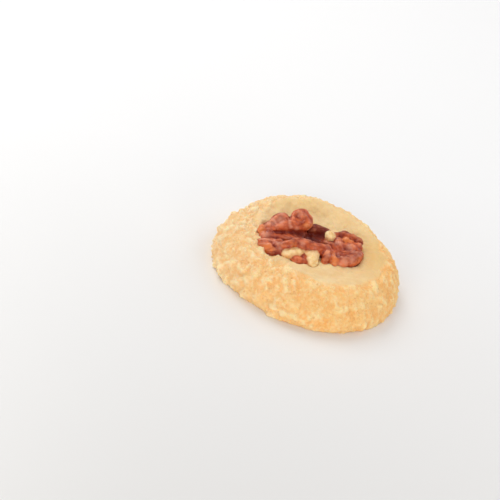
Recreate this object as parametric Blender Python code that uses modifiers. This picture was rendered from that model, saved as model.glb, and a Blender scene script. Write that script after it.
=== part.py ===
"""Walnut shortbread biscuit: a pressed round of crumbly dough with half a walnut kernel sunk in its dish.

Metres, +Z up. The flat base lies on z = 0, the origin is at the middle of the base, and the side that is seen
first faces -Y. The walnut lies with its inner face up, so its two wings and the cleft between them show.
"""

import math

import bmesh
import bpy
import numpy as np
from mathutils import Vector, noise

MM = 0.001
NOISE_SEED = 7  # noise_vector follows it, so that each run makes the same crumbs

# The dough, as baked
BISCUIT_RADIUS = 27.0 * MM
BELLY_HEIGHT = 1.6 * MM  # where the side stands out furthest
RIM_HEIGHT = 10.9 * MM
RIM_RADIUS = 18.8 * MM  # crest of the rim round the dish
DISH_DEPTH = 1.7 * MM
DISH_FLOOR_RADIUS = 12.5 * MM
FOOT_ROUNDING = 1.8 * MM
BELOW_BASE = 0.9 * MM  # dough under z = 0, which the baking tray cuts off
OUTLINE_WAVES = ((2, 0.016, -137.0), (3, 0.024, -84.0), (4, 0.012, 54.0))  # number, share of radius, degrees

# The crumb that stands out of the crust
GRAIN_PITCH = 2.6 * MM
GRAIN_HEIGHT = 0.7 * MM
GRAIN_REACH = 0.42  # share of the pitch over which a lump falls away
GRAIN_LEAST = 0.62  # size of the smallest lump as a share of the largest
GRAIN_MEAN = 0.26  # mean of the lumps, taken off so that they stand evenly about the crust
GRAIN_BEND = 0.4  # how far the pattern of the lumps is bent, in pitches
ROUGHER_TOWARDS = 205.0  # degrees; on this side the crumbs stand out more
ROUGHER_BY = 0.9
SWELL_PITCH = 6.5 * MM
SWELL_HEIGHT = 0.5 * MM
CRUMB_SINK = 0.1 * MM
CRUMB_EDGE = 18.8 * MM  # the dish inside this radius was pressed smooth
CRUMB_EDGE_SWAY = 0.9 * MM  # the smooth part lies a little to one side
CRUMB_EDGE_TOWARDS = 40.0  # degrees
CRUMB_INLET_TOWARDS = 226.0  # degrees; here the crumb runs in as far as the kernel
CRUMB_INLET_WIDTH = 32.0
CRUMB_INLET_DEPTH = 4.6 * MM
CRUMB_FADE = 2.2 * MM
RIM_PRESS = (-12.6 * MM, -11.2 * MM)  # the rim gave way here, under the kernel's tip
RIM_PRESS_REACH = 3.6 * MM
RIM_PRESS_DEPTH = 0.9 * MM
RIM_PRESS_FROM = 3.0 * MM  # the side below this height isn't pressed, above RIM_PRESS_FULL it is wholly
RIM_PRESS_FULL = 9.0 * MM

# The walnut half, in its own frame: +X along the kernel, z = 0 under its outer face
KERNEL_PLACE = (-1.3 * MM, -1.8 * MM, 7.0 * MM)
KERNEL_TURN = math.radians(24.0)
SEAT_GAP = 0.45 * MM  # between the kernel and the hollow that it pressed in the dough
KERNEL_VOXEL = 0.36 * MM
SEAT_VOXEL = 0.8 * MM
WRINKLE_PITCH = 1.9 * MM
WRINKLE_DEPTH = 0.22 * MM
WRINKLE_STRETCH = 1.33  # wrinkles run along the kernel
WRINKLE_BEND = 2.0  # the bends are this much wider than the wrinkles
WRINKLE_SHARPNESS = 4

# Triangles left in each solid before the dough is cut
BISCUIT_TRIANGLES = 8200
KERNEL_TRIANGLES = 4600
SEAT_TRIANGLES = 1400

# Each fold is a round ridge through (x, y, z, radius) in millimetres
FOLDS = {
    "back_body": ((-10.8, 4.2, 2.9, 2.0), (-7.0, 5.9, 3.3, 2.7), (-3.2, 7.2, 3.6, 2.9)),
    "knob_core": ((-1.7, 7.9, 4.7, 2.5), (-0.6, 8.6, 4.8, 2.6)),
    "knob_arch": (
        (-3.6, 8.0, 5.5, 1.35), (-2.3, 9.6, 6.3, 1.5), (-0.5, 9.9, 6.5, 1.55),
        (1.0, 8.6, 5.8, 1.35),
    ),
    "knob_left": ((-4.3, 7.3, 5.0, 1.3), (-3.9, 5.9, 4.7, 1.5), (-2.5, 5.8, 4.4, 1.45)),
    "knob_bulge": ((-1.1, 6.3, 4.7, 1.45), (0.2, 6.5, 4.9, 1.4), (1.4, 7.8, 5.0, 1.15)),
    "back_ridge": ((-6.4, 8.3, 5.6, 1.7), (-8.6, 7.3, 5.2, 1.6), (-11.1, 4.9, 4.6, 1.35)),
    "back_fold": (
        (-5.4, 6.3, 4.7, 1.3), (-8.1, 5.0, 4.4, 1.4), (-10.9, 3.4, 4.1, 1.2),
        (-12.6, 2.9, 3.6, 1.15),
    ),
    "back_end": ((-13.0, 4.5, 4.1, 1.1), (-13.7, 3.4, 3.8, 1.0)),
    "tip_valley": (
        (-13.0, 1.6, 3.0, 1.6), (-9.6, 1.7, 2.8, 1.8), (-5.4, 2.2, 2.2, 1.9),
        (-1.6, 3.0, 1.2, 1.9),
    ),
    "front_crest": ((-14.8, -0.7, 3.2, 0.9), (-12.2, -0.9, 3.8, 0.85), (-9.1, -1.0, 4.0, 0.95)),
    "front_body": ((-12.6, -1.9, 2.6, 1.75), (-9.0, -2.4, 2.6, 1.7)),
    "front_lump": (
        (-14.6, -1.7, 2.7, 1.2), (-13.2, -2.7, 2.6, 1.7), (-11.7, -3.3, 2.3, 1.7),
        (-10.1, -3.7, 1.9, 1.3),
    ),
    "front_pillar": ((-10.1, -2.4, 3.6, 1.1), (-9.5, -4.1, 2.2, 1.15)),
    "middle_ridge": (
        (-8.9, -3.0, 4.0, 1.2), (-6.3, -2.5, 4.6, 1.35), (-3.8, -1.6, 4.9, 1.4),
        (-1.5, -2.3, 4.9, 1.5), (1.3, -3.0, 4.5, 1.5), (4.5, -2.4, 4.1, 1.4),
    ),
    "middle_low": ((-3.3, -3.1, 3.9, 1.3), (-0.5, -3.1, 3.6, 1.35), (1.8, -3.3, 3.4, 1.3)),
    "front_crumb": (
        (-5.9, -6.1, 2.4, 1.0), (-4.9, -6.7, 2.5, 1.35), (-3.7, -7.0, 2.3, 1.3),
        (-2.8, -7.0, 2.0, 1.1),
    ),
    "crumb_root": ((-3.1, -5.0, 3.0, 0.95), (-2.9, -5.8, 2.7, 1.0), (-3.3, -6.5, 2.4, 1.1)),
    "back_rim": ((3.3, 8.6, 2.4, 1.9), (5.3, 8.7, 2.3, 1.8), (7.3, 7.8, 2.1, 1.6)),
    "neck": ((5.3, 0.3, 3.6, 1.3), (7.1, -1.1, 4.0, 1.3)),
    "tail_body": ((9.4, -1.2, 2.7, 2.5), (12.2, -0.6, 2.8, 2.4)),
    "tail_ridge": (
        (8.9, 4.0, 4.4, 1.35), (10.6, 4.0, 4.9, 1.3), (12.6, 2.7, 5.1, 1.1),
        (14.7, 1.9, 5.1, 0.95), (15.6, 1.3, 4.8, 0.65),
    ),
    "tail_left": ((8.8, 1.9, 4.2, 1.35), (8.5, -0.7, 4.0, 1.5)),
    "tail_bowl": ((10.9, 1.7, 3.7, 1.75), (12.8, 1.2, 3.8, 1.6)),
    "tail_front": (
        (7.8, -5.9, 2.8, 1.7), (9.7, -6.0, 3.1, 1.95), (12.2, -4.8, 3.3, 1.85),
        (14.3, -2.5, 3.3, 1.45),
    ),
    "tail_shoulder": ((10.2, -1.6, 3.5, 1.6), (12.1, -1.0, 3.9, 1.7), (14.2, 0.0, 3.8, 1.6)),
    "tail_saddle": ((8.6, -2.9, 3.2, 1.6), (11.5, -2.9, 3.3, 1.7)),
    "tail_corner": ((4.1, -3.3, 3.7, 1.25), (4.3, -4.7, 3.2, 1.6), (3.4, -6.1, 2.5, 1.25)),
    "tail_knuckle": ((6.0, -4.7, 3.1, 1.35), (6.0, -6.4, 2.5, 1.35)),
}

# Where the skin broke away: pale nubs of the flesh
BROKEN = {
    "broken_front": (
        (-7.7, -4.8, 2.7, 1.45), (-6.5, -4.8, 2.6, 1.75), (-4.7, -4.5, 3.0, 1.6),
        (-3.4, -4.1, 3.5, 1.15),
    ),
    "broken_middle": (
        (-1.3, -4.8, 3.2, 1.4), (0.5, -4.8, 3.2, 1.45), (-0.3, -6.0, 2.7, 1.95),
        (-0.5, -7.2, 2.1, 1.8),
    ),
    "broken_nub": ((6.9, 3.1, 3.4, 1.5), (6.6, 3.1, 4.6, 1.65)),
}

# The body under the folds: centre, then half sizes, in millimetres
WINGS = {
    "back_wing": ((-5.8, 6.3, 2.4), (7.0, 4.2, 2.6)),
    "front_wing": ((-5.0, -2.4, 1.7), (10.0, 3.6, 1.9)),
    "tail_wing": ((9.0, -1.2, 2.2), (6.7, 6.4, 2.4)),
    "cleft_floor": ((-0.5, 3.2, 0.7), (13.0, 7.6, 1.5)),
}


def clear_scene():
    for obj in list(bpy.data.objects):
        bpy.data.objects.remove(obj)


def collection_named(name):
    made = bpy.data.collections.new(name)
    bpy.context.scene.collection.children.link(made)
    return made


def material(name, colour, roughness):
    made = bpy.data.materials.new(name)
    made.use_nodes = True
    shader = made.node_tree.nodes["Principled BSDF"]
    shader.inputs["Base Color"].default_value = (*colour, 1.0)
    shader.inputs["Roughness"].default_value = roughness
    shader.inputs["Metallic"].default_value = 0.0
    return made


def object_from(mesh, name, collection):
    obj = bpy.data.objects.new(name, mesh)
    collection.objects.link(obj)
    return obj


def bake_modifiers(obj):
    """Gives the object the mesh that its modifiers make, so that code can move the vertices."""
    graph = bpy.context.evaluated_depsgraph_get()
    obj.data = bpy.data.meshes.new_from_object(obj.evaluated_get(graph))
    obj.modifiers.clear()


def make_helper(obj):
    """A cutter: it shapes the dough, and it isn't a part of the biscuit."""
    obj.hide_render = True
    obj.display_type = "WIRE"


def ease(value, low, high):
    """0 below low, 1 above high, with a smooth rise between them."""
    share = min(1.0, max(0.0, (value - low) / (high - low)))
    return share * share * (3.0 - 2.0 * share)


def biscuit_profile():
    """(radius, height) from the middle of the dish, over the rim and down the side to the middle of the base."""
    points = []
    dish_steps, side_steps, foot_steps, base_steps = 20, 30, 8, 5
    for i in range(dish_steps):
        radius = RIM_RADIUS * i / dish_steps
        rise = ease(radius, DISH_FLOOR_RADIUS, RIM_RADIUS)
        points.append((radius, RIM_HEIGHT - DISH_DEPTH * (1.0 - rise)))
    for i in range(side_steps):
        angle = math.pi / 2 * i / side_steps
        radius = RIM_RADIUS + (BISCUIT_RADIUS - RIM_RADIUS) * math.sin(angle)
        points.append((radius, BELLY_HEIGHT + (RIM_HEIGHT - BELLY_HEIGHT) * math.cos(angle)))
    for i in range(foot_steps + 1):
        angle = math.pi / 2 * i / foot_steps
        radius = BISCUIT_RADIUS - FOOT_ROUNDING * (1.0 - math.cos(angle))
        points.append((radius, BELLY_HEIGHT - (BELLY_HEIGHT + BELOW_BASE) * math.sin(angle)))
    foot_radius = BISCUIT_RADIUS - FOOT_ROUNDING
    for i in range(1, base_steps + 1):
        points.append((foot_radius * (1.0 - i / base_steps), -BELOW_BASE))
    return points


def turned(name, profile, steps, collection):
    """A profile at +X, running down its outer side, turned round Z."""
    mesh = bpy.data.meshes.new(name)
    edges = [(i, i + 1) for i in range(len(profile) - 1)]
    mesh.from_pydata([(radius, 0.0, height) for radius, height in profile], edges, [])
    obj = object_from(mesh, name, collection)
    screw = obj.modifiers.new("turn", "SCREW")
    screw.axis = "Z"
    screw.steps = screw.render_steps = steps
    screw.use_merge_vertices = True
    screw.merge_threshold = 0.00001
    bake_modifiers(obj)
    return obj


def outline_factor(x, y):
    """How far the outline swells or draws in at this place round the biscuit."""
    angle = math.atan2(y, x)
    waves = (share * math.cos(count * angle - math.radians(phase)) for count, share, phase in OUTLINE_WAVES)
    return 1.0 + sum(waves)


def facing(point, towards):
    """Cosine of the angle round the biscuit between this place and a direction in degrees."""
    return math.cos(math.atan2(point.y, point.x) - math.radians(towards))


def crumb_amount(point):
    """0 in the pressed dish and 1 on the rough side."""
    inlet = math.exp((facing(point, CRUMB_INLET_TOWARDS) - 1.0) / math.radians(CRUMB_INLET_WIDTH) ** 2)
    edge = CRUMB_EDGE + CRUMB_EDGE_SWAY * facing(point, CRUMB_EDGE_TOWARDS) - CRUMB_INLET_DEPTH * inlet
    return ease(math.hypot(point.x, point.y), edge, edge + CRUMB_FADE)


def crumb_height(point):
    """Rounded crumbs of uneven size, on slow swells of the crust."""
    bent = point / GRAIN_PITCH + noise.noise_vector(point / (1.3 * GRAIN_PITCH)) * GRAIN_BEND
    lumps = 0.0
    for distance, middle in zip(*noise.voronoi(bent), strict=True):
        size = GRAIN_LEAST + (1.0 - GRAIN_LEAST) * noise.cell(middle * 7.3)
        lumps += size * math.exp(-((distance / GRAIN_REACH) ** 2))
    swell = noise.noise(point / SWELL_PITCH)
    gain = 1.0 + ROUGHER_BY * ease(facing(point, ROUGHER_TOWARDS), 0.0, 1.0)
    return gain * (GRAIN_HEIGHT * (lumps - GRAIN_MEAN) + SWELL_HEIGHT * swell - CRUMB_SINK)


def rim_press(point):
    """How far the rim is pressed down at this place."""
    distance = math.hypot(point.x - RIM_PRESS[0], point.y - RIM_PRESS[1])
    upper = ease(point.z, RIM_PRESS_FROM, RIM_PRESS_FULL)
    return RIM_PRESS_DEPTH * upper * math.exp(-((distance / RIM_PRESS_REACH) ** 2))


def roughen_crust(mesh):
    """Moves the dough's vertices: the uneven outline everywhere, the crumb only outside the pressed dish."""
    lift = []
    for vertex in mesh.vertices:
        amount = crumb_amount(vertex.co) * ease(vertex.co.z, -BELOW_BASE, 0.0)
        lift.append(vertex.normal * (amount * crumb_height(vertex.co)))
    for vertex, offset in zip(mesh.vertices, lift, strict=True):
        factor = outline_factor(vertex.co.x, vertex.co.y)
        vertex.co = Vector((vertex.co.x * factor, vertex.co.y * factor, vertex.co.z)) + offset
        vertex.co.z -= rim_press(vertex.co)


def smooth_path(knots, per_span=7):
    """Places on one smooth curve through the knots of a fold, radius included."""
    knots = [Vector(knot) for knot in knots]
    if len(knots) == 1:
        return knots
    ends = [2.0 * knots[0] - knots[1], *knots, 2.0 * knots[-1] - knots[-2]]
    places = []
    for before, start, end, after in zip(ends, ends[1:], ends[2:], ends[3:]):
        for i in range(per_span):
            t = i / per_span
            slope = (end - before) * t
            bend = (2.0 * before - 5.0 * start + 4.0 * end - after) * t**2
            twist = (3.0 * start - before - 3.0 * end + after) * t**3
            places.append(0.5 * (2.0 * start + slope + bend + twist))
    return [*places, knots[-1]]


def ball_cluster(name, balls):
    """One mesh with an icosphere for each ball, given as (centre, half sizes)."""
    bm = bmesh.new()
    bmesh.ops.create_icosphere(bm, subdivisions=3, radius=1.0)
    corners = np.array([vertex.co for vertex in bm.verts])
    triangles = np.array([[vertex.index for vertex in face.verts] for face in bm.faces])
    bm.free()
    places = np.concatenate([np.array(centre) + corners * np.array(halves) for centre, halves in balls])
    faces = np.concatenate([triangles + i * len(corners) for i in range(len(balls))])
    mesh = bpy.data.meshes.new(name)
    mesh.from_pydata(places.tolist(), [], faces.tolist())
    return mesh


def kernel_mass(name, grow, voxel, collection):
    """The kernel's wings and folds fused into one body, each of them fatter by grow."""
    balls = []
    for centre, halves in WINGS.values():
        balls.append((Vector(centre) * MM, [half * MM + grow for half in halves]))
    for knots in (*FOLDS.values(), *BROKEN.values()):
        for x, y, z, radius in smooth_path(knots):
            balls.append((Vector((x, y, z)) * MM, [radius * MM + grow] * 3))
    obj = object_from(ball_cluster(name, balls), name, collection)
    fuse = obj.modifiers.new("fuse", "REMESH")
    fuse.mode = "VOXEL"
    fuse.voxel_size = voxel
    soften = obj.modifiers.new("soften", "SMOOTH")
    soften.factor = 0.5
    soften.iterations = 3
    bake_modifiers(obj)
    obj.location = KERNEL_PLACE
    obj.rotation_euler.z = KERNEL_TURN
    return obj


def wrinkle_skin(mesh):
    """Shrinks the kernel's skin into narrow wrinkles, always inwards, so that it stays clear of the dough."""
    sunk = []
    for vertex in mesh.vertices:
        along = Vector((vertex.co.x / WRINKLE_STRETCH, vertex.co.y, vertex.co.z)) / WRINKLE_PITCH
        valley = 1.0 - abs(noise.noise(along + noise.noise_vector(along / WRINKLE_BEND)))
        sunk.append(vertex.co - vertex.normal * (WRINKLE_DEPTH * valley**WRINKLE_SHARPNESS))
    for vertex, place in zip(mesh.vertices, sunk, strict=True):
        vertex.co = place


def simplify(obj, triangles):
    """Fewer triangles, kept where the relief is."""
    reduce = obj.modifiers.new("fewer_faces", "DECIMATE")
    reduce.use_collapse_triangulate = True
    faces = sum(len(polygon.vertices) - 2 for polygon in obj.data.polygons)
    reduce.ratio = triangles / faces


def cut(obj, cutter):
    boolean = obj.modifiers.new("cut_" + cutter.name, "BOOLEAN")
    boolean.operation = "DIFFERENCE"
    boolean.solver = "EXACT"
    boolean.object = cutter


def make_tray(collection):
    """A block under z = 0 that leaves the base flat."""
    side = 3.0 * BISCUIT_RADIUS
    depth = 10.0 * MM
    bm = bmesh.new()
    bmesh.ops.create_cube(bm, size=1.0)
    bmesh.ops.scale(bm, vec=(side, side, depth), verts=bm.verts)
    mesh = bpy.data.meshes.new("tray")
    bm.to_mesh(mesh)
    bm.free()
    tray = object_from(mesh, "tray", collection)
    tray.location.z = -depth / 2
    make_helper(tray)
    return tray


def main():
    clear_scene()
    noise.seed_set(NOISE_SEED)
    parts = collection_named("walnut_shortbread")
    cutters = collection_named("cutters")

    kernel = kernel_mass("walnut_half", 0.0, KERNEL_VOXEL, parts)
    wrinkle_skin(kernel.data)
    simplify(kernel, KERNEL_TRIANGLES)
    kernel.data.materials.append(material("walnut_skin", (0.36, 0.13, 0.05), 0.4))

    seat = kernel_mass("seat", SEAT_GAP, SEAT_VOXEL, cutters)
    simplify(seat, SEAT_TRIANGLES)
    make_helper(seat)

    biscuit = turned("biscuit", biscuit_profile(), 360, parts)
    roughen_crust(biscuit.data)
    simplify(biscuit, BISCUIT_TRIANGLES)
    cut(biscuit, make_tray(cutters))
    cut(biscuit, seat)
    biscuit.data.materials.append(material("baked_dough", (0.83, 0.60, 0.30), 0.85))


main()
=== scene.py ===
# Walnut shortbread biscuit: the looks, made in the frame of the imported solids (metres, +Z up, base on z = 0)
import math

import bmesh
import bpy
import numpy as np
from mathutils import Matrix, Vector, noise


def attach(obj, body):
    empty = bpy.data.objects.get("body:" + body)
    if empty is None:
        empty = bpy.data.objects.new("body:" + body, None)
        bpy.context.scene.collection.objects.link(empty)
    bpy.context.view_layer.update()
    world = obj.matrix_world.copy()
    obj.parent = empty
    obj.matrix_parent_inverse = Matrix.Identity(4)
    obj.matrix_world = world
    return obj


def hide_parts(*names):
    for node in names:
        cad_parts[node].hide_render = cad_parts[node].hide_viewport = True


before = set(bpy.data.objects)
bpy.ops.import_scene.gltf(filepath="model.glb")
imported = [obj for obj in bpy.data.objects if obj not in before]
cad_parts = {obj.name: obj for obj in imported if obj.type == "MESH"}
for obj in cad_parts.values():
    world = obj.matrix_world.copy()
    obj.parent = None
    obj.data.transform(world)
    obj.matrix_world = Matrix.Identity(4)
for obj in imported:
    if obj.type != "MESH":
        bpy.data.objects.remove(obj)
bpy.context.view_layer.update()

mm = 0.001
scene = bpy.context.scene
noise.seed_set(7)  # noise_vector follows this seed, so that each run makes the same crumbs


# Shared helpers
def linear(hexColour):
    # sRGB hex to the linear RGBA that shaders take
    shares = [int(hexColour[i:i + 2], 16) / 255 for i in (0, 2, 4)]
    return (*(s / 12.92 if s <= 0.04045 else ((s + 0.055) / 1.055) ** 2.4 for s in shares), 1.0)


def addNode(tree, kind, inputs=None, **settings):
    # inputs maps a socket's name or number to a value, or to the output that feeds it
    node = tree.nodes.new("ShaderNode" + kind)
    for name, value in settings.items():
        setattr(node, name, value)
    for name, value in (inputs or {}).items():
        if isinstance(value, bpy.types.NodeSocket):
            tree.links.new(value, node.inputs[name])
        else:
            node.inputs[name].default_value = value
    return node


def mixColours(tree, share, first, second):
    # each colour is an sRGB hex or the output that feeds it
    a, b = (linear(colour) if isinstance(colour, str) else colour for colour in (first, second))
    return addNode(tree, "Mix", {"Factor": share, 6: a, 7: b}, data_type="RGBA").outputs[2]


def ramp(tree, value, low, high, bottom=0.0, top=1.0):
    # bottom where the value is at low, top where it is at high, straight between and level beyond
    return addNode(tree, "MapRange", {0: value, 1: low, 2: high, 3: bottom, 4: top}).outputs[0]


def times(tree, value, factor):
    return addNode(tree, "Math", {0: value, 1: factor}, operation="MULTIPLY").outputs[0]


def cloudNoise(tree, place, size, detail, roughness=0.5):
    return addNode(
        tree,
        "TexNoise",
        {"Vector": place, "Scale": 1 / size, "Detail": detail, "Roughness": roughness},
    )


def storedValue(tree, name):
    # what storeValues kept at each vertex
    return addNode(tree, "Attribute", attribute_name=name).outputs["Fac"]


def newMaterial(name):
    made = bpy.data.materials.new(name)
    made.use_nodes = True
    made.node_tree.nodes.clear()
    return made, made.node_tree


def ease(value, low, high):
    # 0 below low, 1 above high, smooth between; numbers or arrays
    share = np.clip((value - low) / (high - low), 0.0, 1.0)
    return share * share * (3.0 - 2.0 * share)


def newObject(name, mesh):
    made = bpy.data.objects.new(name, mesh)
    scene.collection.objects.link(made)
    return made


def bakeModifiers(obj):
    graph = bpy.context.evaluated_depsgraph_get()
    obj.data = bpy.data.meshes.new_from_object(obj.evaluated_get(graph))
    obj.modifiers.clear()


def places(mesh):
    flat = np.empty(len(mesh.vertices) * 3)
    mesh.vertices.foreach_get("co", flat)
    return flat.reshape(-1, 3)


def outward(mesh):
    flat = np.empty(len(mesh.vertices) * 3)
    mesh.vertices.foreach_get("normal", flat)
    return flat.reshape(-1, 3)


def moveTo(mesh, co):
    mesh.vertices.foreach_set("co", co.ravel())
    mesh.update()


def storeValues(mesh, name, values):
    # one number at each vertex, which a material reads by name
    mesh.attributes.new(name, "FLOAT", "POINT").data.foreach_set("value", np.asarray(values, float))


# Camera and studio
cameraView = {
    "elevation": 33.6,  # degrees above the biscuit's own plane
    "roll": 19.45,  # degrees; the biscuit's long axis of view slopes down to the right
    "originAt": (304.45, 271.9),  # where the middle of the base falls, in pixels
    "pixelsPerMm": 3.56,
    "distance": 0.6,
    "pictureSide": 500,
    "sensor": 36.0,
}
studio = {
    "sky": 0.49,
    "skyColour": "fbfbfd",
    "floorColour": "f4f4f4",
    "floorPaintedShade": "e7e6e4",  # painted shade: the board's colour darkens towards the near right corner
    "floorRoughness": 0.35,
    "paintedShadeWay": (0.35, -1.0, 0.0),
    "paintedShadeFrom": -0.06,  # metres from the biscuit's middle, along the way the painted shade deepens
    "paintedShadeTo": 0.12,
    "floorSide": 8.0,
    # softboxes: place, side in metres, watts, colour
    "keyBackLeft": ((-0.20, 0.20, 0.34), 0.26, 0.80, "fffefb"),
    "rimBackRight": ((0.35, 0.35, 0.35), 0.50, 1.02, "fdfdff"),
    "fillLeft": ((-0.45, 0.0, 0.30), 0.40, 0.24, "fffefb"),
    "fillLow": ((-0.28, -0.92, 0.31), 0.45, 3.1, "fffcf8"),  # low and far, for the near side
    "fillRight": ((0.60, -0.72, 0.18), 0.40, 2.05, "fff8ee"),
}


def placeCamera():
    v = cameraView
    e, roll = math.radians(v["elevation"]), math.radians(v["roll"])
    focal = v["pixelsPerMm"] / mm * v["distance"]  # focal length in pixels
    back = Vector((0, -math.cos(e), math.sin(e)))
    level = Vector((1, 0, 0))
    upright = back.cross(level)
    right = level * math.cos(roll) + upright * math.sin(roll)
    up = upright * math.cos(roll) - level * math.sin(roll)
    x = (v["originAt"][0] - v["pictureSide"] / 2) / focal
    y = (v["originAt"][1] - v["pictureSide"] / 2) / focal
    aim = Vector((x, -y, -1)).normalized()
    turn = aim.rotation_difference(Vector((0, 0, -1))).to_matrix()
    camera = newObject("camera", bpy.data.cameras.new("camera"))
    camera.matrix_world = Matrix.Translation(back * v["distance"]) @ (
        Matrix((right, up, back)).transposed() @ turn
    ).to_4x4()
    camera.data.sensor_width = v["sensor"]
    camera.data.lens = v["sensor"] * focal / v["pictureSide"]
    camera.data.clip_start = 0.01
    scene.camera = camera


def addSoftbox(name):
    at, side, power, colour = studio[name]
    light = bpy.data.lights.new(name, "AREA")
    light.size, light.energy, light.color = side, power, linear(colour)[:3]
    lamp = newObject(name, light)
    lamp.location = at
    lamp.rotation_euler = (-Vector(at)).to_track_quat("-Z", "Y").to_euler()


def buildStudio():
    s = studio
    world = bpy.data.worlds.new("studioSky")
    world.use_nodes = True
    world.node_tree.nodes["Background"].inputs["Color"].default_value = linear(s["skyColour"])
    world.node_tree.nodes["Background"].inputs["Strength"].default_value = s["sky"]
    scene.world = world
    for name in ("keyBackLeft", "rimBackRight", "fillLeft", "fillLow", "fillRight"):
        addSoftbox(name)
    mesh = bpy.data.meshes.new("studioFloor")
    bm = bmesh.new()
    bmesh.ops.create_grid(bm, x_segments=1, y_segments=1, size=s["floorSide"] / 2)
    bm.to_mesh(mesh)
    bm.free()
    floor = newObject("studioFloor", mesh)
    # satin white board: its soft reflection of the warm crumb lightens the shadow beside the biscuit
    board, tree = newMaterial("white board, satin")
    place = addNode(tree, "TexCoord").outputs["Object"]
    # painted shade: the board's colour darkens towards the near right corner
    towardsNear = addNode(tree, "VectorMath", {0: place, 1: s["paintedShadeWay"]}, operation="DOT_PRODUCT")
    share = ramp(tree, towardsNear.outputs["Value"], s["paintedShadeFrom"], s["paintedShadeTo"])
    shade = mixColours(tree, share, s["floorColour"], s["floorPaintedShade"])
    shader = addNode(tree, "BsdfPrincipled", {"Base Color": shade, "Roughness": s["floorRoughness"]})
    addNode(tree, "OutputMaterial", {"Surface": shader.outputs[0]})
    mesh.materials.append(board)
    scene.view_settings.view_transform = "Standard"
    print("camera and studio placed")


placeCamera()
buildStudio()


# The dough: a pressed round, rough with crumb outside the dish
dough = {
    "radius": 27.0 * mm,
    "bellyHeight": 1.6 * mm,
    "rimHeight": 10.9 * mm,
    "rimRadius": 18.8 * mm,
    "dishDepth": 1.7 * mm,
    "dishFloorRadius": 12.5 * mm,
    "footRounding": 1.8 * mm,
    "footTurn": 40.0,  # degrees of the rounding that show over the base
    "outlineWaves": ((2, 0.016, -137.0), (3, 0.024, -84.0), (4, 0.012, 54.0)),  # round, share, degrees
    "steps": {"dish": 52, "side": 72, "foot": 10, "base": 12, "round": 760},
    "grainPitch": 2.6 * mm,
    "grainHeight": 0.70 * mm,
    "swellPitch": 6.5 * mm,
    "swellHeight": 0.5 * mm,
    "finePitch": 1.3 * mm,  # smaller crumbs over the large ones
    "fineHeight": 0.42 * mm,
    "gritPitch": 0.75 * mm,
    "gritHeight": 0.20 * mm,
    "crumbReach": 0.42,  # of the pitch: how wide each crumb's dome is
    "crumbLeast": 0.62,  # the smallest crumb, as a share of the largest
    "crumbMean": 0.26,  # taken off, so that the crumbs neither swell nor shrink the biscuit
    "crumbTopShares": (0.60, 0.35, 0.20),  # how far each size of crumb counts as a top for the colour, which paints light on the tops and shade in the gaps
    "rougherTowards": 205.0,  # on this side the crumbs stand out more
    "rougherBy": 0.9,
    "crumbFrom": 2.0 * mm,  # above this height the crumbs stand out fully
    "footCrumb": 0.8 * mm,  # the most that a crumb of the foot stands out
    "crumbSink": 0.10 * mm,  # so that the tops of the crumbs, not their middles, give the outline
    "seatDepth": 2.8 * mm,  # the kernel pressed its own hollow
    "lipHeight": 0.22 * mm,  # dough raised round the kernel
    "lipReach": 1.6 * mm,
    "tipPress": (-12.6 * mm, -11.2 * mm, 3.6 * mm, 0.9 * mm),  # x, y, reach, depth: the rim gives there
    "crumbEdge": 18.8 * mm,  # the dish inside this radius was pressed smooth
    "crumbEdgeSway": 0.9 * mm,  # its middle lies a little to one side
    "crumbEdgeTowards": 40.0,
    "crumbInlet": (226.0, 32.0, 4.6 * mm),  # direction, width, depth: here the crumb reaches the nut
    "crumbFade": 2.2 * mm,
    "edgeWanderPitch": 5.0 * mm,
    "edgeWander": 1.6 * mm,
    "dentPitch": 3.0 * mm,  # slow dents of the dish
    "dentHeight": 0.34 * mm,
    "faintPitch": 1.4 * mm,  # and its faint tooth
    "faintHeight": 0.26 * mm,
    "brownTowards": ((10.0, 1.0), (115.0, 0.55)),  # the dish's slope caught more heat here, by these amounts
    "paleTowards": 160.0,  # the crumb is paler on this side
}


def doughProfile():
    # (radius, height) from the middle of the dish, over the rim, down the side and back along the base
    d, steps, points = dough, dough["steps"], []
    for radius in np.linspace(0.0, d["rimRadius"], steps["dish"], endpoint=False):
        rise = ease(radius, d["dishFloorRadius"], d["rimRadius"])
        points.append((radius, d["rimHeight"] - d["dishDepth"] * (1.0 - rise)))
    for angle in np.linspace(0.0, math.pi / 2, steps["side"], endpoint=False):
        radius = d["rimRadius"] + (d["radius"] - d["rimRadius"]) * math.sin(angle)
        points.append((radius, d["bellyHeight"] + (d["rimHeight"] - d["bellyHeight"]) * math.cos(angle)))
    footTurn = math.radians(d["footTurn"])
    for angle in np.linspace(0.0, footTurn, steps["foot"], endpoint=False):
        drop = d["bellyHeight"] * math.sin(angle) / math.sin(footTurn)
        points.append((d["radius"] - d["footRounding"] * (1.0 - math.cos(angle)), d["bellyHeight"] - drop))
    footRadius = d["radius"] - d["footRounding"] * (1.0 - math.cos(footTurn))
    for radius in np.linspace(footRadius, 0.0, steps["base"]):
        points.append((radius, 0.0))
    return points


def outlineFactor(angle):
    waves = dough["outlineWaves"]
    return 1.0 + sum(share * np.cos(count * angle - math.radians(phase)) for count, share, phase in waves)


def crumbAmount(co):
    # 0 in the pressed dish, 1 on the rough side; the edge between them wanders
    d = dough
    angle = np.arctan2(co[:, 1], co[:, 0])
    radius = np.hypot(co[:, 0], co[:, 1])
    edge = d["crumbEdge"] + d["crumbEdgeSway"] * np.cos(angle - math.radians(d["crumbEdgeTowards"]))
    towards, width, depth = d["crumbInlet"]
    edge -= depth * np.exp((np.cos(angle - math.radians(towards)) - 1.0) / math.radians(width) ** 2)
    edge += np.array([noise.noise(Vector(p) / d["edgeWanderPitch"]) for p in co]) * d["edgeWander"]
    return ease(radius, edge, edge + d["crumbFade"])


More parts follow.
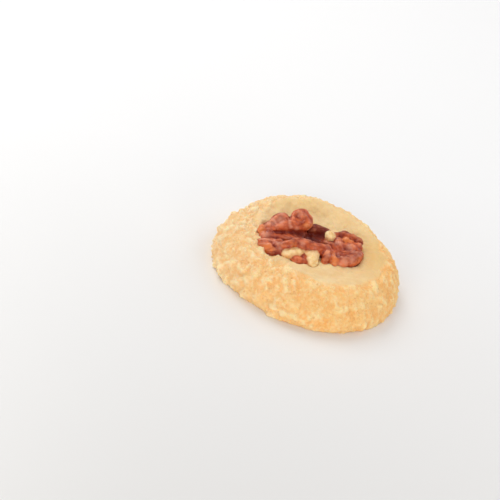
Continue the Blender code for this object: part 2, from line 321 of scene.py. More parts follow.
def softLumps(point, pitch):
    # rounded lumps: each of the four nearest cell middles raises a soft dome of its own size
    d, total = dough, 0.0
    bent = point / pitch + noise.noise_vector(point / (1.3 * pitch)) * 0.4
    for distance, middle in zip(*noise.voronoi(bent)):
        size = d["crumbLeast"] + (1.0 - d["crumbLeast"]) * noise.cell(middle * 7.3)
        total += size * math.exp(-((distance / d["crumbReach"]) ** 2))
    return total


def crumbRelief(point):
    # lumps of crumb on slow swells, with smaller crumbs over them; the second value is 1 on the tops
    d = dough
    lumps = softLumps(point, d["grainPitch"])
    fine = softLumps(point + Vector((0.7, 0.3, 0.5)), d["finePitch"])
    grit = softLumps(point + Vector((0.2, 0.9, 0.4)), d["gritPitch"])
    swell = noise.noise(point / d["swellPitch"])
    lift = d["swellHeight"] * swell - d["crumbSink"]
    top = 0.0
    heights = (d["grainHeight"], d["fineHeight"], d["gritHeight"])
    for dome, height, share in zip((lumps, fine, grit), heights, d["crumbTopShares"]):
        lift += height * (dome - d["crumbMean"])
        top += share * dome
    return lift, top


def dishDent(point):
    # the pressed dish isn't quite smooth either
    d = dough
    slow = d["dentHeight"] * noise.noise(point / d["dentPitch"])
    return slow + d["faintHeight"] * noise.noise(point / d["faintPitch"])


def kernelFootprint(co):
    # how far each place lies outside the kernel as seen from above, in metres; below 0 under it
    turn = math.radians(kernel["turn"])
    flat = (co - np.array(kernel["at"]))[:, :2]
    flat = flat @ np.array([[math.cos(turn), -math.sin(turn)], [math.sin(turn), math.cos(turn)]])
    gap = np.full(len(co), 1.0)
    for _, centre, halves in kernelBalls():
        outside = np.linalg.norm((flat - centre[:2]) / halves[:2], axis=1) - 1.0
        gap = np.minimum(gap, outside * halves[:2].min())
    return gap


def buildDough():
    d = dough
    mesh = bpy.data.meshes.new("shortbread_dough")
    profile = doughProfile()
    mesh.from_pydata([(r, 0.0, z) for r, z in profile], [(i, i + 1) for i in range(len(profile) - 1)], [])
    obj = newObject("shortbread_dough", mesh)
    turn = obj.modifiers.new("turn", "SCREW")
    turn.steps = turn.render_steps = d["steps"]["round"]
    turn.use_merge_vertices = True
    turn.merge_threshold = 0.00001
    bakeModifiers(obj)
    mesh = obj.data
    co, normal = places(mesh), outward(mesh)
    rough = crumbAmount(co)
    relief = np.array([crumbRelief(Vector(p)) for p in co])
    upper = ease(co[:, 2], 0.0, d["crumbFrom"])
    angle = np.arctan2(co[:, 1], co[:, 0])
    gain = 1.0 + d["rougherBy"] * ease(np.cos(angle - math.radians(d["rougherTowards"])), 0.0, 1.0)
    lift = rough * upper * gain * relief[:, 0]
    dents = np.array([dishDent(Vector(p)) for p in co])
    lift += (1.0 - rough) * upper * dents
    factor = outlineFactor(angle)[:, None]
    moved = co * np.hstack([factor, factor, np.ones_like(factor)]) + normal * lift[:, None]
    # crumbs of the foot stand out sideways only, down to the tray, so that none of them hangs over it
    radius = np.hypot(co[:, 0], co[:, 1])
    foot = d["footCrumb"] * np.tanh(gain * relief[:, 0] / d["footCrumb"])
    foot *= (1.0 - upper) * ease(radius, 24.0 * mm, 26.4 * mm)
    moved[:, :2] += co[:, :2] / np.maximum(radius, mm)[:, None] * foot[:, None]
    moved[:, 2] = np.maximum(moved[:, 2], 0.0)
    x, y, reach, depth = d["tipPress"]
    pressed = np.exp(-((moved[:, 0] - x) ** 2 + (moved[:, 1] - y) ** 2) / reach**2)
    moved[:, 2] -= depth * pressed * ease(moved[:, 2], 3.0 * mm, 9.0 * mm)
    gap = kernelFootprint(moved)
    top = normal[:, 2] > 0.3
    lip = ease(gap, -0.3 * mm, 0.1 * mm) * (1.0 - ease(gap, 0.1 * mm, d["lipReach"]))
    moved[:, 2] += top * (d["lipHeight"] * lip - d["seatDepth"] * (1.0 - ease(gap, -0.9 * mm, -0.3 * mm)))
    moveTo(mesh, moved)
    storeValues(mesh, "rough", rough)
    storeValues(mesh, "crumbTop", np.clip(relief[:, 1], 0, 1))
    storeValues(mesh, "underside", ease(-normal[:, 2], 0.75, 0.98))
    paler = np.cos(angle - math.radians(d["paleTowards"]))
    storeValues(mesh, "paler", ease(paler, -0.9, 1.0))
    slope = ease(radius, 11.0 * mm, 17.0 * mm) * (normal[:, 2] > 0)
    facing = [(np.cos(angle - math.radians(way)), amount) for way, amount in d["brownTowards"]]
    heat = sum(amount * np.exp(5.0 * (near - 1.0)) for near, amount in facing)
    storeValues(mesh, "browned", heat * slope)
    mesh.shade_smooth()
    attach(obj, "root")
    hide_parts("biscuit")
    print("dough:", len(mesh.polygons), "faces")
    return obj


crust = {  # sRGB colours; pairs run from the palest to the most baked patches
    "gaps": ("fdc880", "fab767"),  # between the crumbs: their golden colour, with painted shade
    # the crumbs' cream tops, with painted light
    "tops": "ffdda0",
    "creamyShadedGaps": "f5d4a2",  # the same on the paler side, with more painted shade in the gaps and painted light on the tops
    "creamyLitTops": "fff0d0",
    "creamyShare": 0.5,
    "dish": ("f2d49f", "ebc78f"),
    "dishSlope": "e4bd7c",
    "pits": "d08c48",
    "underside": "d9985a",
    "patchSize": 5.0 * mm,
    "speckSize": 1.2 * mm,
    "pitSpacing": 1.8 * mm,
    "pitSway": 1.6 * mm,
    "grainSize": 0.62 * mm,
    "toothSize": 0.45 * mm,
    "toothHeight": 0.26 * mm,
    "roughness": 0.72,
    "ior": 1.45,
    "scatter": 0.25,
    "scatterDepth": 1.4 * mm,
}


def bakedShortbread():
    # Butter shortbread, pressed by hand and baked pale: matt crumb, cream on its tops and golden in its gaps,
    # partly its own colour and partly painted light on the tops and painted shade in the gaps.
    # Light goes a little way into the crumb, which softens the shadows between the crumbs.
    c = crust
    made, tree = newMaterial("shortbread, baked pale")
    place = addNode(tree, "TexCoord").outputs["Object"]
    rough = storedValue(tree, "rough")
    # browning drifts over 5 mm patches, and single crumbs of 1.2 mm take it unevenly
    patches = cloudNoise(tree, place, c["patchSize"], 3.0, 0.6)
    specks = cloudNoise(tree, place, c["speckSize"], 3.0, 0.65)
    # lighter on the crumbs' tops and darker in their gaps: painted light and painted shade over the crumb's
    # own colours
    height = ramp(tree, storedValue(tree, "crumbTop"), 0.1, 0.75)
    blend = addNode(tree, "Math", {0: specks.outputs["Fac"], 1: 2.4, 2: -1.2}, operation="MULTIPLY_ADD")
    onTop = addNode(tree, "Math", {0: height, 1: blend.outputs[0]}, operation="ADD", use_clamp=True)
    drift = ramp(tree, patches.outputs["Fac"], 0.38, 0.64)
    baked = mixColours(tree, onTop.outputs[0], mixColours(tree, drift, *c["gaps"]), c["tops"])
    # the paler side is creamier: less hue between its tops and gaps, and more painted light on the tops and
    # painted shade in the gaps
    creamy = mixColours(tree, onTop.outputs[0], c["creamyShadedGaps"], c["creamyLitTops"])
    paleSideShare = times(tree, storedValue(tree, "paler"), c["creamyShare"])
    crumb = mixColours(tree, paleSideShare, baked, creamy)
    smooth = mixColours(tree, drift, *c["dish"])
    dish = mixColours(tree, storedValue(tree, "browned"), smooth, c["dishSlope"])
    dressed = mixColours(tree, rough, dish, crumb)
    # small pits between the crumbs caught the heat: every other cell of 1.8 mm has one, about 0.6 mm wide
    shift = addNode(
        tree,
        "VectorMath",
        {0: specks.outputs["Color"], 1: (c["pitSway"],) * 3, 2: place},
        operation="MULTIPLY_ADD",
    )
    cells = addNode(tree, "TexVoronoi", {"Vector": shift.outputs[0], "Scale": 1 / c["pitSpacing"]})
    chance = addNode(tree, "SeparateColor", {0: cells.outputs["Color"]})
    chosen = ramp(tree, chance.outputs[0], 0.35, 0.6)
    inside = ramp(tree, cells.outputs["Distance"], 0.24, 0.08, 0.0, 0.5)
    pit = times(tree, chosen, times(tree, inside, rough))
    pitted = mixColours(tree, pit, dressed, c["pits"])
    base = mixColours(tree, storedValue(tree, "underside"), pitted, c["underside"])
    # grains of the crumb, about 0.6 mm, with a rougher tooth over them; the pressed dish keeps less than half
    grains = addNode(
        tree,
        "TexVoronoi",
        {"Vector": place, "Scale": 1 / c["grainSize"], "Smoothness": 0.6},
        feature="SMOOTH_F1",
    )
    tooth = cloudNoise(tree, place, c["toothSize"], 3.0, 0.6)
    relief = addNode(
        tree,
        "Math",
        {0: grains.outputs["Distance"], 1: -1.0, 2: tooth.outputs["Fac"]},
        operation="MULTIPLY_ADD",
    )
    strength = ramp(tree, rough, 0.0, 1.0, 0.4, 1.0)
    bump = addNode(
        tree,
        "Bump",
        {"Height": relief.outputs[0], "Strength": strength, "Distance": c["toothHeight"]},
    )
    shader = addNode(
        tree,
        "BsdfPrincipled",
        {
            "Base Color": base,
            "Roughness": c["roughness"],
            "IOR": c["ior"],
            "Subsurface Weight": c["scatter"],
            "Subsurface Radius": (1.0, 0.55, 0.22),
            "Subsurface Scale": c["scatterDepth"],
            "Normal": bump.outputs[0],
        },
    )
    addNode(tree, "OutputMaterial", {"Surface": shader.outputs[0]})
    return made


# The walnut half, in its own frame: +X along the kernel, z = 0 under its outer face; (x, y, z, radius) in mm
kernel = {
    "at": (-1.3 * mm, -1.8 * mm, 7.0 * mm),
    "turn": 24.0,
    "voxel": 0.2 * mm,
    "broadPitch": 4.5 * mm,
    "broadHeight": 0.35 * mm,
    "wrinklePitch": 1.9 * mm,
    "wrinkleDepth": 0.18 * mm,
    "veinPitch": 0.9 * mm,
    "veinDepth": 0.05 * mm,
    "knotPitch": 1.5 * mm,
    "knotHeight": 0.16 * mm,
    "facetPitch": 1.5 * mm,  # flesh that snapped off, in flat facets
    "facetHeight": 0.40 * mm,
    "tornPitch": 0.9 * mm,
    "tornHeight": 0.26 * mm,
    "tornSink": 0.16 * mm,
    "raggedPitch": 1.1 * mm,  # the skin's edge round the flesh
    "raggedBy": 0.35 * mm,
    "unevenPitch": 0.9 * mm,  # spots and curves of colour have uneven edges
    "unevenBy": 0.35 * mm,
    "orangeBy": 0.7,
    "creaseFrom": 0.02 * mm,  # how deep a hollow has to be before its painted shade starts, and where it is darkest; the same heights set the painted highlight on crests
    "creaseFull": 0.22 * mm,
}
wings = {
    "backWing": ((-5.8, 6.3, 2.4), (7.0, 4.2, 2.6)),
    "frontWing": ((-5.0, -2.4, 1.7), (10.0, 3.6, 1.9)),
    "tailWing": ((9.0, -1.2, 2.2), (6.7, 6.4, 2.4)),
    "cleftFloor": ((-0.5, 3.2, 0.7), (13.0, 7.6, 1.5)),
}
folds = {
    "backBody": ((-10.8, 4.2, 2.9, 2.0), (-7.0, 5.9, 3.3, 2.7), (-3.2, 7.2, 3.6, 2.9)),
    "knobCore": ((-1.7, 7.9, 4.7, 2.5), (-0.6, 8.6, 4.8, 2.6)),
    "knobArch": (
        (-3.6, 8.0, 5.5, 1.35), (-2.3, 9.6, 6.3, 1.5),
        (-0.5, 9.9, 6.5, 1.55), (1.0, 8.6, 5.8, 1.35),
    ),
    "knobLeft": ((-4.3, 7.3, 5.0, 1.3), (-3.9, 5.9, 4.7, 1.5), (-2.5, 5.8, 4.4, 1.45)),
    "knobBulge": ((-1.1, 6.3, 4.7, 1.45), (0.2, 6.5, 4.9, 1.4), (1.4, 7.8, 5.0, 1.15)),
    "backRidge": ((-6.4, 8.3, 5.6, 1.7), (-8.6, 7.3, 5.2, 1.6), (-11.1, 4.9, 4.6, 1.35)),
    "backFold": (
        (-5.4, 6.3, 4.7, 1.3), (-8.1, 5.0, 4.4, 1.4),
        (-10.9, 3.4, 4.1, 1.2), (-12.6, 2.9, 3.6, 1.15),
    ),
    "backEnd": ((-13.0, 4.5, 4.1, 1.1), (-13.7, 3.4, 3.8, 1.0)),
    "tipValley": (
        (-13.0, 1.6, 3.0, 1.6), (-9.6, 1.7, 2.8, 1.8),
        (-5.4, 2.2, 2.2, 1.9), (-1.6, 3.0, 1.2, 1.9),
    ),
    "frontCrest": ((-14.8, -0.7, 3.2, 0.9), (-12.2, -0.9, 3.8, 0.85), (-9.1, -1.0, 4.0, 0.95)),
    "frontBody": ((-12.6, -1.9, 2.6, 1.75), (-9.0, -2.4, 2.6, 1.7)),
    "frontLump": (
        (-14.6, -1.7, 2.7, 1.2), (-13.2, -2.7, 2.6, 1.7),
        (-11.7, -3.3, 2.3, 1.7), (-10.1, -3.7, 1.9, 1.3),
    ),
    "frontPillar": ((-10.1, -2.4, 3.6, 1.1), (-9.5, -4.1, 2.2, 1.15)),
    "middleRidge": (
        (-8.9, -3.0, 4.0, 1.2), (-6.3, -2.5, 4.6, 1.35), (-3.8, -1.6, 4.9, 1.4),
        (-1.5, -2.3, 4.9, 1.5), (1.3, -3.0, 4.5, 1.5), (4.5, -2.4, 4.1, 1.4),
    ),
    "middleLow": ((-3.3, -3.1, 3.9, 1.3), (-0.5, -3.1, 3.6, 1.35), (1.8, -3.3, 3.4, 1.3)),
    "frontCrumb": (
        (-5.9, -6.1, 2.4, 1.0), (-4.9, -6.7, 2.5, 1.35),
        (-3.7, -7.0, 2.3, 1.3), (-2.8, -7.0, 2.0, 1.1),
    ),
    "crumbRoot": ((-3.1, -5.0, 3.0, 0.95), (-2.9, -5.8, 2.7, 1.0), (-3.3, -6.5, 2.4, 1.1)),
    "backRim": ((3.3, 8.6, 2.4, 1.9), (5.3, 8.7, 2.3, 1.8), (7.3, 7.8, 2.1, 1.6)),
    "neck": ((5.3, 0.3, 3.6, 1.3), (7.1, -1.1, 4.0, 1.3)),
    "tailBody": ((9.4, -1.2, 2.7, 2.5), (12.2, -0.6, 2.8, 2.4)),
    "tailRidge": (
        (8.9, 4.0, 4.4, 1.35), (10.6, 4.0, 4.9, 1.3), (12.6, 2.7, 5.1, 1.1),
        (14.7, 1.9, 5.1, 0.95), (15.6, 1.3, 4.8, 0.65),
    ),
    "tailLeft": ((8.8, 1.9, 4.2, 1.35), (8.5, -0.7, 4.0, 1.5)),
    "tailBowl": ((10.9, 1.7, 3.7, 1.75), (12.8, 1.2, 3.8, 1.6)),
    "tailFront": (
        (7.8, -5.9, 2.8, 1.7), (9.7, -6.0, 3.1, 1.95),
        (12.2, -4.8, 3.3, 1.85), (14.3, -2.5, 3.3, 1.45),
    ),
    "tailShoulder": ((10.2, -1.6, 3.5, 1.6), (12.1, -1.0, 3.9, 1.7), (14.2, 0.0, 3.8, 1.6)),
    "tailSaddle": ((8.6, -2.9, 3.2, 1.6), (11.5, -2.9, 3.3, 1.7)),
    "tailCorner": ((4.1, -3.3, 3.7, 1.25), (4.3, -4.7, 3.2, 1.6), (3.4, -6.1, 2.5, 1.25)),
    "tailKnuckle": ((6.0, -4.7, 3.1, 1.35), (6.0, -6.4, 2.5, 1.35)),
    "bareFront": (
        (-7.7, -4.8, 2.7, 1.45), (-6.5, -4.8, 2.6, 1.75),
        (-4.7, -4.5, 3.0, 1.6), (-3.4, -4.1, 3.5, 1.15),
    ),
    "bareMiddle": (
        (-1.3, -4.8, 3.2, 1.4), (0.5, -4.8, 3.2, 1.45),
        (-0.3, -6.0, 2.7, 1.95), (-0.5, -7.2, 2.1, 1.8),
    ),
    "bareNub": ((6.9, 3.1, 3.4, 1.5), (6.6, 3.1, 4.6, 1.65)),
}
# How far a fold's skin leans to orange brown (above 0) or to dark purple brown (below 0); on the cleft's
# floor, the back rim, the back wing and the tail's saddle the dark purple brown is painted shade
foldTintsAndShade = {
    "backEnd": 0.6, "knobBulge": 0.35, "frontLump": 0.4, "frontCrumb": 0.1, "crumbRoot": -0.1,
    "tailBowl": 0.9, "tailKnuckle": 0.8, "tailRidge": -0.35, "backRim": -0.9, "cleftFloor": -1.0,
    "backWing": -0.5, "tipValley": -0.15, "frontPillar": -0.3, "tailSaddle": -0.3, "neck": -0.1,
    "middleRidge": -0.12, "middleLow": -0.2, "tailFront": -0.2,
}
# Small dents (below 0) and bumps on the folds: (x, y, z, reach, height) in mm
marks = {
    "knobShine": ((-2.0, 9.0, 7.7, 1.0, 0.25), (-4.5, 6.1, 6.1, 0.8, 0.2), (-3.2, 4.5, 4.6, 0.9, 0.3)),
    "ridgeStreaks": (
        (-7.6, 6.9, 6.4, 0.8, -0.35), (-8.9, 6.0, 6.1, 0.8, -0.35),
        (-10.1, 4.9, 5.6, 0.8, -0.3),
    ),
    "tailBumps": (
        (8.2, 1.3, 5.2, 0.8, 0.3), (10.7, 1.3, 5.6, 1.1, 0.3),
        (12.0, -1.5, 5.4, 0.9, 0.35), (14.4, -0.4, 5.3, 0.9, 0.25),
    ),
    "tailHorn": ((13.4, 1.2, 5.6, 0.7, -0.5), (12.2, 1.9, 5.8, 0.7, -0.4), (9.4, 3.0, 5.4, 0.8, -0.4)),
    "cornerBumps": ((3.8, -4.8, 4.7, 1.0, 0.25), (5.8, -5.6, 4.3, 0.9, 0.25), (4.9, -5.2, 4.5, 0.6, -0.5)),
    "lumpStreak": (
        (-12.5, -3.0, 4.3, 0.7, 0.2), (-10.9, -3.2, 3.7, 0.6, -0.4),
        (-11.9, -1.8, 4.3, 0.6, -0.3),
    ),
}
# Grooves cut along smooth curves, with the same numbers
grooves = {
    "valleyLine": (
        (-12.2, 2.7, 4.6, 0.45, -0.25), (-10.3, 3.2, 4.4, 0.55, -0.35), (-8.0, 3.6, 4.1, 0.6, -0.4),
        (-6.2, 3.9, 4.0, 0.65, -0.4), (-4.8, 3.7, 4.2, 0.7, -0.5),
        (-3.0, 3.9, 4.1, 0.8, -0.6), (-1.2, 4.1, 3.7, 0.9, -0.6),
    ),
    "knobGroove": (
        (-3.1, 7.9, 7.1, 0.7, -0.4), (-2.1, 6.9, 6.9, 0.85, -0.9),
        (-1.2, 6.7, 6.7, 0.8, -0.7), (-0.3, 7.0, 6.6, 0.6, -0.4),
    ),
    "tailNotch": (
        (8.2, -2.9, 4.7, 0.6, -0.4), (8.9, -2.7, 4.8, 0.7, -0.5),
        (9.8, -2.2, 5.0, 0.7, -0.6), (11.0, -2.6, 5.0, 0.7, -0.4),
    ),
    "tailValley": ((6.9, -4.0, 4.6, 0.5, -0.4), (6.9, -5.2, 4.3, 0.6, -0.5), (7.4, -6.3, 4.0, 0.5, -0.4)),
}
# Pale pink painted highlights, as spots or as curves, and the skin's orange mottling: (x, y, z, reach) in mm
sheenSpots = (
    (-1.8, 8.5, 7.2, 0.9), (-3.2, 4.1, 4.9, 0.6), (-11.6, 5.1, 5.6, 1.1),
    (-10.2, 6.2, 6.1, 0.8), (-13.0, 1.1, 4.3, 1.2),
    (-10.1, -2.6, 4.5, 0.9), (-9.7, -4.0, 3.7, 0.7), (3.8, -5.3, 4.8, 0.9),
    (8.1, 0.0, 5.0, 1.0), (11.2, -2.0, 4.9, 1.1),
    (8.4, -7.6, 4.0, 1.2), (7.5, -7.6, 2.9, 0.8), (12.4, -3.4, 4.7, 0.9),
    (-3.3, -2.9, 5.6, 0.8), (-2.1, -1.3, 6.0, 0.8),
    (-8.0, 6.2, 6.1, 1.5), (-9.7, 5.6, 5.9, 1.2), (-7.2, 8.3, 7.0, 1.1), (10.6, -6.9, 4.4, 0.9),
)
sheenCurves = {
    "ridgeSide": ((-5.3, 6.6, 6.6, 0.45), (-5.3, 5.6, 6.1, 0.5), (-5.1, 4.7, 5.6, 0.5)),
    "frontEdge": ((-14.5, -0.6, 4.0, 0.4), (-12.7, -1.2, 4.5, 0.4), (-10.9, -1.3, 4.6, 0.4)),
    "cleftEdge": ((-6.6, -1.2, 5.7, 0.4), (-5.3, -1.0, 6.0, 0.5), (-4.0, -0.6, 6.0, 0.4)),
}
orangeSpots = (
    (-13.9, 2.9, 4.5, 1.2), (-0.2, 5.5, 6.0, 0.9), (-13.4, -3.8, 3.9, 1.0), (-12.1, -4.6, 3.6, 0.8),
    (-6.0, -3.7, 4.9, 1.0), (11.1, 1.2, 5.7, 1.3), (6.0, -6.7, 4.0, 1.1),
    (13.0, -5.8, 4.1, 1.6), (-4.6, -6.4, 3.7, 0.7),
)
shadeCurves = {  # dark lines along grooves, the feet of lobes and their edges, all painted shade: strength, then the knots
    "valley": (0.9, (
        (-12.2, 2.6, 4.5, 0.2), (-10.3, 3.2, 4.4, 0.3), (-8.0, 3.6, 4.1, 0.38), (-6.2, 3.9, 3.9, 0.5),
        (-4.8, 3.8, 4.0, 0.62), (-3.0, 4.0, 3.9, 0.85), (-1.2, 4.1, 3.5, 1.2), (1.2, 3.4, 2.6, 1.6),
    )),
    "knob": (0.35, ((-2.6, 7.3, 6.9, 0.6), (-2.0, 6.8, 6.7, 0.8), (-1.3, 6.6, 6.5, 0.7))),
    "tailEdge": (0.8, (
        (10.2, 4.8, 5.9, 0.6), (11.9, 3.7, 6.4, 0.6),
        (13.9, 2.6, 6.1, 0.7), (15.5, 1.2, 5.2, 1.0),
    )),
    "neck": (0.8, ((4.1, 0.7, 3.7, 1.2), (3.6, -0.8, 4.4, 0.9), (3.4, -1.8, 4.9, 0.7))),
    "ridgeEdge": (0.6, ((-9.5, 8.0, 6.2, 0.5), (-7.1, 9.2, 6.8, 0.6), (-5.6, 8.3, 6.9, 0.7))),
    "lumpFoot": (0.7, ((-12.6, -5.3, 2.6, 0.6), (-10.9, -5.2, 2.3, 0.9), (-9.3, -5.3, 2.3, 0.7))),
    "crumbFoot": (0.7, ((-5.6, -7.9, 2.2, 0.6), (-4.4, -8.3, 1.9, 0.7), (-3.2, -8.1, 1.9, 0.6))),
    "tail": (0.5, ((6.9, -4.0, 4.6, 0.5), (6.9, -5.2, 4.2, 0.6), (7.4, -6.3, 3.9, 0.5))),
}
# Skin left on the flesh, and the folds where it broke away from the cream flesh
flapSpots = ((-1.9, -4.3, 4.6, 1.3), (-0.3, -4.1, 4.7, 1.5), (0.9, -4.3, 4.6, 1.1), (-6.0, -4.0, 4.9, 1.1))
bareFolds = ("bareFront", "bareMiddle", "bareNub")


def foldPath(knots, perSpan=7):
    # places on one smooth curve through a fold's knots, radius included
    knots = [np.array(knot) for knot in knots]
    if len(knots) == 1:
        return knots
    ends = [2 * knots[0] - knots[1], *knots, 2 * knots[-1] - knots[-2]]
    made = []
    for before, start, end, after in zip(ends, ends[1:], ends[2:], ends[3:]):
        for t in np.linspace(0.0, 1.0, perSpan, endpoint=False):
            slope = (end - before) * t
            bend = (2 * before - 5 * start + 4 * end - after) * t**2
            twist = (3 * start - before - 3 * end + after) * t**3
            made.append(0.5 * (2 * start + slope + bend + twist))
    return [*made, knots[-1]]


def kernelBalls():
    # every ball of the kernel: its fold's name, its centre and its half sizes, in metres
    balls = [(name, np.array(centre) * mm, np.array(halves) * mm) for name, (centre, halves) in wings.items()]
    for name, knots in folds.items():
        balls += [(name, spot[:3] * mm, np.full(3, spot[3]) * mm) for spot in foldPath(knots)]
    return balls


def ballCluster(name, balls):
    bm = bmesh.new()
    bmesh.ops.create_icosphere(bm, subdivisions=4, radius=1.0)
    corners = np.array([vertex.co for vertex in bm.verts])
    triangles = np.array([[vertex.index for vertex in face.verts] for face in bm.faces])
    bm.free()
    mesh = bpy.data.meshes.new(name)
    spots = np.concatenate([centre + corners * halves for _, centre, halves in balls])
    faces = np.concatenate([triangles + i * len(corners) for i in range(len(balls))])
    mesh.from_pydata(spots.tolist(), [], faces.tolist())
    return mesh


def smoothed(mesh, values, rounds):
    # each vertex's value drawn towards the mean of its neighbours, round after round
    ends = np.empty(len(mesh.edges) * 2, int)
    mesh.edges.foreach_get("vertices", ends)
    a, b = ends[::2], ends[1::2]
    count = np.bincount(ends, minlength=len(values)).reshape((-1,) + (1,) * (values.ndim - 1))
    for _ in range(rounds):
        total = np.zeros_like(values)
        np.add.at(total, a, values[b])
        np.add.at(total, b, values[a])
        values = total / count
    return values


def nearness(co, balls):
    # how far each vertex lies outside each fold, in metres: the lowest over the fold's balls
    names = list(dict.fromkeys(name for name, _, _ in balls))
    gaps = np.full((len(names), len(co)), 1.0)
    for name, centre, halves in balls:
        size = halves.min()
        gap = (np.linalg.norm((co - centre) / halves, axis=1) - 1.0) * size
        row = names.index(name)
        gaps[row] = np.minimum(gaps[row], gap)
    return names, gaps


def skinRelief(point):
    # broad unevenness, folded wrinkles and fine veins of a dried walnut skin
    k = kernel
    broad = noise.noise_vector(point / k["broadPitch"])
    bent = noise.noise_vector(point / (3.0 * mm) + Vector((5, 3, 1)))
    point = Vector((0.75 * point.x, point.y, point.z))  # wrinkles run along the kernel
    wrinkle = max(0.0, 1.0 - 2.2 * abs(noise.noise(point / k["wrinklePitch"] + bent * 0.7)))
    vein = max(0.0, 1.0 - 2.0 * abs(noise.noise(point / k["veinPitch"] + bent)))
    knot = noise.noise(point / k["knotPitch"] + Vector((2, 9, 4)))
    lift = k["broadHeight"] * broad[0] + k["knotHeight"] * knot
    return lift - k["wrinkleDepth"] * wrinkle**2.5 - k["veinDepth"] * vein**2


def brokenRelief(point):
    # flesh that snapped off: flat facets, each at its own level, and torn between them
    k = kernel
    distances, middles = noise.voronoi(point / k["facetPitch"])
    level = noise.cell(middles[0] * 5.1) * math.exp(-((distances[0] / 0.55) ** 4))
    torn = noise.noise(point / k["tornPitch"])
    return k["facetHeight"] * level + k["tornHeight"] * torn - k["tornSink"]


def closeTo(co, knots):
    # 1 on a curve through the knots (or at a single one), falling off over each knot's reach
    found = np.zeros(len(co))
    for x, y, z, reach in foldPath([knot[:4] for knot in knots], 6):
        distance = np.linalg.norm(co - np.array((x, y, z)) * mm, axis=1) / (reach * mm)
        found = np.maximum(found, np.exp(-(distance**2)))
    return found


def buildKernel():
    k, balls = kernel, kernelBalls()
    obj = newObject("walnut_kernel", ballCluster("walnut_kernel", balls))
    fuse = obj.modifiers.new("fuse", "REMESH")
    fuse.mode = "VOXEL"
    fuse.voxel_size = k["voxel"]
    soften = obj.modifiers.new("soften", "SMOOTH")
    soften.factor, soften.iterations = 0.5, 9
    bakeModifiers(obj)
    mesh = obj.data
    co, normal = places(mesh), outward(mesh)
    names, gaps = nearness(co, balls)
    isBare = np.array([name in bareFolds for name in names])
    ragged = np.array([noise.noise(Vector(p) / k["raggedPitch"]) for p in co]) * k["raggedBy"]
    inside = gaps[~isBare].min(0) - gaps[isBare].min(0) + ragged  # how far inside the broken flesh
    bare = ease(inside, -0.10 * mm, 0.25 * mm)
    weights = np.exp(-(gaps - gaps.min(0)) / (0.30 * mm))
    tints = np.array([foldTintsAndShade.get(name, 0.0) for name in names])
    tintAndShade = (weights * tints[:, None]).sum(0) / weights.sum(0)
    relief = np.array([skinRelief(Vector(p)) for p in co])
    broken = np.array([brokenRelief(Vector(p)) for p in co])
    co += normal * (relief * (1.0 - bare) + broken * bare)[:, None]
    for x, y, z, reach, height in (spot for spots in marks.values() for spot in spots):
        distance = np.linalg.norm(co - np.array((x, y, z)) * mm, axis=1)
        co += normal * (height * mm * np.exp(-((distance / (reach * mm)) ** 2)))[:, None]
    for knots in grooves.values():
        depths = np.array([closeTo(co, [knot]) * knot[4] for knot in foldPath(knots, 6)]).min(0)
        co += normal * (depths * mm)[:, None]
    moveTo(mesh, co)
    hollow = ((smoothed(mesh, co, 14) - co) * outward(mesh)).sum(1)  # above 0 in creases, below 0 on crests
    # painted shade in the creases and painted highlight on the crests, by how hollow the surface is
    storeValues(mesh, "creaseShade", smoothed(mesh, ease(hollow, k["creaseFrom"], k["creaseFull"]), 1))
    storeValues(mesh, "crestHighlight", smoothed(mesh, ease(-hollow, k["creaseFrom"], k["creaseFull"]), 1))
    bent = co + np.array([noise.noise_vector(Vector(p) / k["unevenPitch"]) for p in co]) * k["unevenBy"]
    # pale pink painted highlights, on spots and curves
    paintedSheen = [closeTo(bent, [spot]) for spot in sheenSpots]
    paintedSheen += [closeTo(bent, knots) for knots in sheenCurves.values()]
    orange = np.max([closeTo(bent, [spot]) for spot in orangeSpots], axis=0)
    # painted shade along grooves, the feet of lobes and their edges
    darkAndShade = np.max([strength * closeTo(bent, knots) for strength, knots in shadeCurves.values()], axis=0)
    flap = np.max([closeTo(bent, [spot]) for spot in flapSpots], axis=0)
    storeValues(mesh, "bare", bare)
    storeValues(mesh, "flap", np.maximum(flap, 1.0 - ease(inside, 0.1 * mm, 1.1 * mm)))
    storeValues(mesh, "paintedSheen", np.max(paintedSheen, axis=0) * (1.0 - darkAndShade))
    storeValues(mesh, "tintAndShade", np.clip(tintAndShade + k["orangeBy"] * orange, -1.0, 1.0) * (1.0 - darkAndShade) - darkAndShade)
    mesh.shade_smooth()
    # the mesh itself goes to its place, so that the object stays at the origin
    mesh.transform(Matrix.Translation(kernel["at"]) @ Matrix.Rotation(math.radians(kernel["turn"]), 4, "Z"))
    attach(obj, "root")
    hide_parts("walnut_half")
    print("kernel:", len(mesh.polygons), "faces")
    return obj


walnutSkin = {  # sRGB colours
    "skin": ("d06234", "8c2c12"),  # its light and dark mottling
    "orange": "da7a3a",
    # dark purple brown: the skin's own on some folds, painted shade in the cleft, the grooves and under lobes
    "darkAndShade": "5a1418",
    # pale pink painted highlight
    "paintedSheen": "f2ae90",
    "paintedSheenShare": 0.5,
    # painted highlight on the crests
    "crestHighlight": "f5a070",
    "crestHighlightShare": 0.5,
    # painted shade in the creases
    "creaseShade": "7e2111",
    "creaseShadeShare": 0.85,
    "flesh": ("fae0ac", "ebc07e"),
    "film": "cf8a4c",  # thin skin left on the flesh
    "filmShare": 0.55,
    "mottleSize": 2.2 * mm,
    "poreSize": 0.5 * mm,
    "poreDepth": 0.08 * mm,
    "glaze": (0.08, 0.3),  # on the dark skin and on the rest
    "glazeRoughness": 0.12,
    "roughness": (0.42, 0.6),  # skin, flesh
    "ior": 1.47,
    "scatter": 0.15,
    "scatterDepth": 0.9 * mm,
}


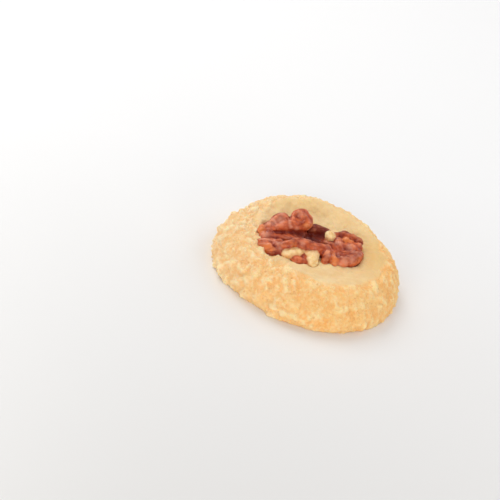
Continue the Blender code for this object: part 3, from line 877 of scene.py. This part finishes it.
def roastedWalnut():
    # Walnut skin, roasted and brushed with syrup: thin reddish brown film over cream flesh.
    # The syrup gives small clear highlights. The creases are painted darker, as painted shade, and the crests
    # paler, as painted highlight.
    w = walnutSkin
    made, tree = newMaterial("walnut skin, roasted and glazed")
    place = addNode(tree, "TexCoord").outputs["Object"]
    bare = storedValue(tree, "bare")
    tintAndShade = storedValue(tree, "tintAndShade")
    mottle = cloudNoise(tree, place, w["mottleSize"], 4.0, 0.6).outputs["Fac"]
    skin = mixColours(tree, ramp(tree, mottle, 0.38, 0.62), *w["skin"])
    # orange is the skin's own tone, and dark partly its own and partly painted shade; the next two are painted
    # highlights, and the last painted shade
    layers = (  # each lies over the ones before it
        ("orange", ramp(tree, tintAndShade, 0.0, 1.0, 0.0, 0.85)),
        ("darkAndShade", ramp(tree, tintAndShade, 0.0, -1.0, 0.0, 0.85)),
        ("paintedSheen", times(tree, storedValue(tree, "paintedSheen"), w["paintedSheenShare"])),
        ("crestHighlight", times(tree, storedValue(tree, "crestHighlight"), w["crestHighlightShare"])),
        ("creaseShade", times(tree, storedValue(tree, "creaseShade"), w["creaseShadeShare"])),
    )
    for name, share in layers:
        skin = mixColours(tree, share, skin, w[name])
    flesh = mixColours(tree, ramp(tree, mottle, 0.4, 0.65), *w["flesh"])
    film = times(tree, storedValue(tree, "flap"), w["filmShare"])
    base = mixColours(tree, bare, skin, mixColours(tree, film, flesh, w["film"]))
    glaze = ramp(tree, tintAndShade, -0.8, 0.0, *w["glaze"])
    roughness = ramp(tree, bare, 0.0, 1.0, *w["roughness"])
    pores = cloudNoise(tree, place, w["poreSize"], 2.0)
    bump = addNode(
        tree,
        "Bump",
        {"Height": pores.outputs["Fac"], "Strength": 0.25, "Distance": w["poreDepth"]},
    )
    shader = addNode(
        tree,
        "BsdfPrincipled",
        {
            "Base Color": base,
            "Roughness": roughness,
            "IOR": w["ior"],
            "Specular IOR Level": 0.2,
            "Coat Weight": glaze,
            "Coat Roughness": w["glazeRoughness"],
            "Subsurface Weight": w["scatter"],
            "Subsurface Radius": (1.0, 0.45, 0.2),
            "Subsurface Scale": w["scatterDepth"],
            "Normal": bump.outputs[0],
        },
    )
    addNode(tree, "OutputMaterial", {"Surface": shader.outputs[0]})
    return made


doughObject = buildDough()
doughObject.data.materials.append(bakedShortbread())
kernelObject = buildKernel()
kernelObject.data.materials.append(roastedWalnut())
